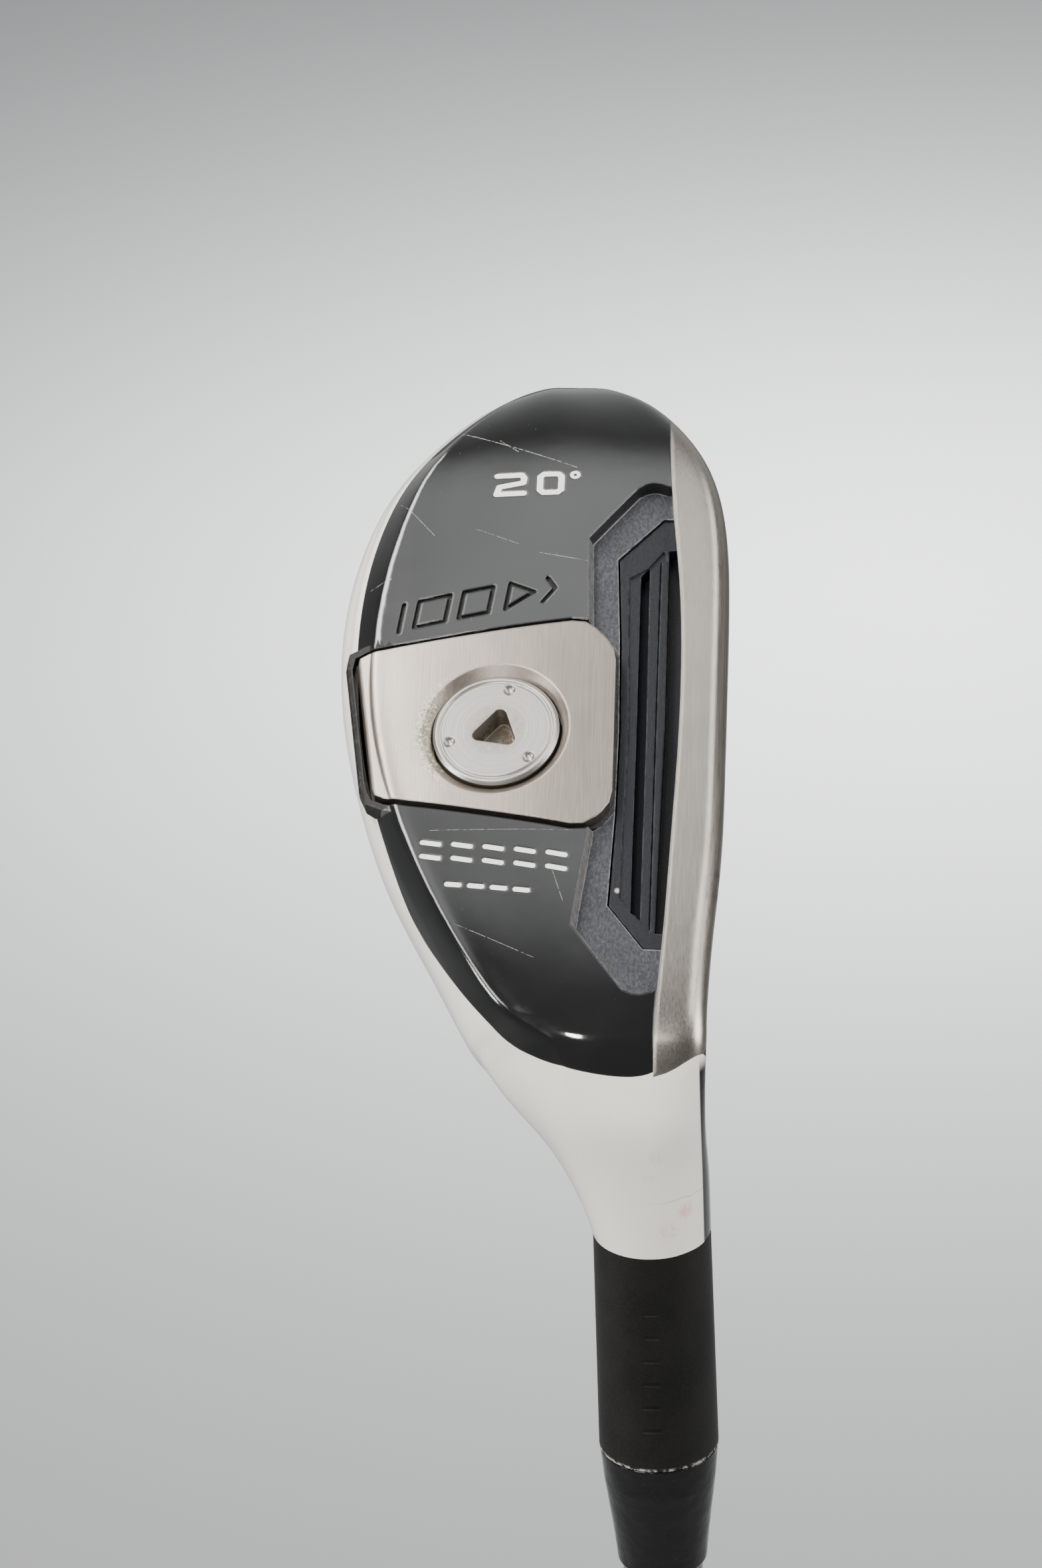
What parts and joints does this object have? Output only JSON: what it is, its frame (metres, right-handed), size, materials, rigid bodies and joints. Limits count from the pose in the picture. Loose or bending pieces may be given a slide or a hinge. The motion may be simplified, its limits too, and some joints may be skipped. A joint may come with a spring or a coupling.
{
  "type": "hybrid golf club",
  "caption": "Hybrid golf club: hollow offset-back head with a slotted black sole, let-in steel pad and round weight screw, on a long tapered shaft with a rubber grip.",
  "frame": {"origin": "centre of the grip cap's end face, where the club's butt rests", "axes": "+Z along the shaft from the butt to the head, +X the way the face looks, +Y the side the toe and sole lean to, away from the picture's camera"},
  "size_m": [0.0506, 0.0998, 1.0607],
  "materials": {
    "white_paint": "gloss",
    "black_paint": "gloss",
    "face_steel": "brushed, black behind the leading edge",
    "pad_steel": "brushed",
    "boss_steel": "machined",
    "weight_steel": "polished, worn",
    "insert_polymer": "matte",
    "washer_nylon": "matte",
    "adhesive": "matte",
    "mark_white": "satin",
    "hosel_black": "matte",
    "ferrule_black": "gloss",
    "epoxy": "clear",
    "graphite": "lacquered carbon fibre",
    "brass": "machined",
    "tape": "matte",
    "grip_rubber": "matte",
    "cap_rubber": "satin"
  },
  "bodies": {
    "club": {"head_body": "white_paint", "crown_plate": "white_paint", "face_cup": "face_steel", "sole_plate": "black_paint", "slot_insert": "insert_polymer", "weight_pad": "pad_steel", "pad_adhesive": "adhesive", "weight_boss": "boss_steel", "loft_mark": "mark_white", "name_marks": "mark_white", "hosel_tube": "hosel_black", "ferrule": "ferrule_black", "hosel_epoxy": "epoxy", "shaft": "graphite", "tip_weight": "brass", "grip_tape": "tape", "grip_sleeve": "grip_rubber", "grip_cap": "cap_rubber"},
    "washer": {"weight_washer": "washer_nylon"},
    "weight": {"weight_screw": "weight_steel"}
  },
  "joints": [
    {"name": "weight_travel", "type": "slide", "parent": "club", "child": "washer", "axis": [-0.0645, -0.514, 0.8554], "range_m": [0, 0.006]},
    {"name": "weight_turn", "type": "hinge", "parent": "washer", "child": "weight", "pos_m": [-0.0177, 0.02905, 1.03909], "axis": [-0.0645, -0.514, 0.8554], "range_deg": [0, 2160]}
  ],
  "couplings": [
    {"joint": "weight_travel", "follows": "weight_turn", "m_per_rad": 0.00015915}
  ]
}
